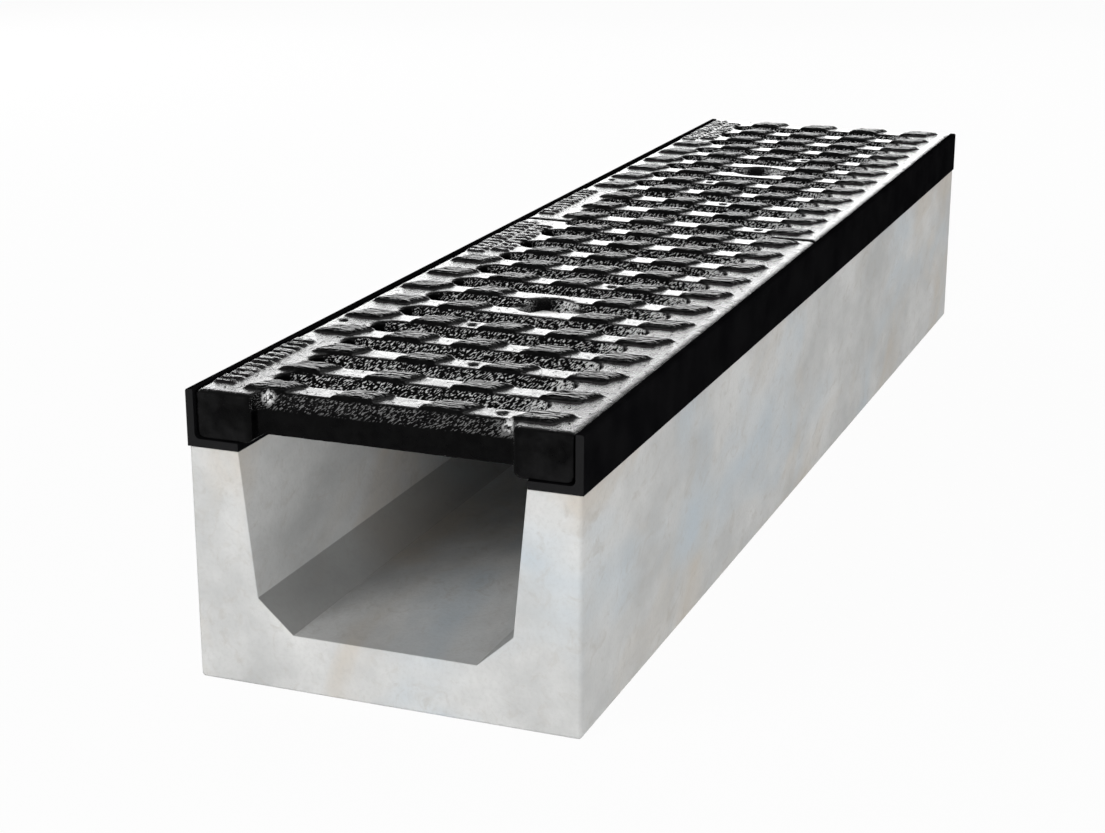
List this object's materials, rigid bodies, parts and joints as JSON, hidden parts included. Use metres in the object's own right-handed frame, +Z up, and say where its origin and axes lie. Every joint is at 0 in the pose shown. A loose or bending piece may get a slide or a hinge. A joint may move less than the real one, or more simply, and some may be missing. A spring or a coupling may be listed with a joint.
{
  "type": "drainage channel",
  "caption": "Straight concrete drainage channel with iron edge rails and bolted slotted grates, laid flush in paving to collect and carry surface water",
  "frame": {"origin": "middle of the flat underside", "axes": "+X across the channel, +Y along it, +Z up through the grates"},
  "size_m": [0.24, 1, 0.1786],
  "materials": {
    "concrete": "smooth cast concrete, matte, with faint warm and cool blotches",
    "rail_iron": "smooth satin black coating",
    "grate_iron": "glossy black coating on rough-cast iron",
    "bar_steel": "black coating",
    "zinc_steel": "dull zinc plating"
  },
  "bodies": {
    "root": {"channel_body": "concrete", "edge_rail_left": "rail_iron", "edge_rail_right": "rail_iron", "grate_front": "grate_iron", "grate_rear": "grate_iron", "cross_bar_front": "bar_steel", "cross_bar_rear": "bar_steel", "lock_bolts": "zinc_steel", "washers": "zinc_steel", "nuts": "zinc_steel"}
  },
  "joints": []
}
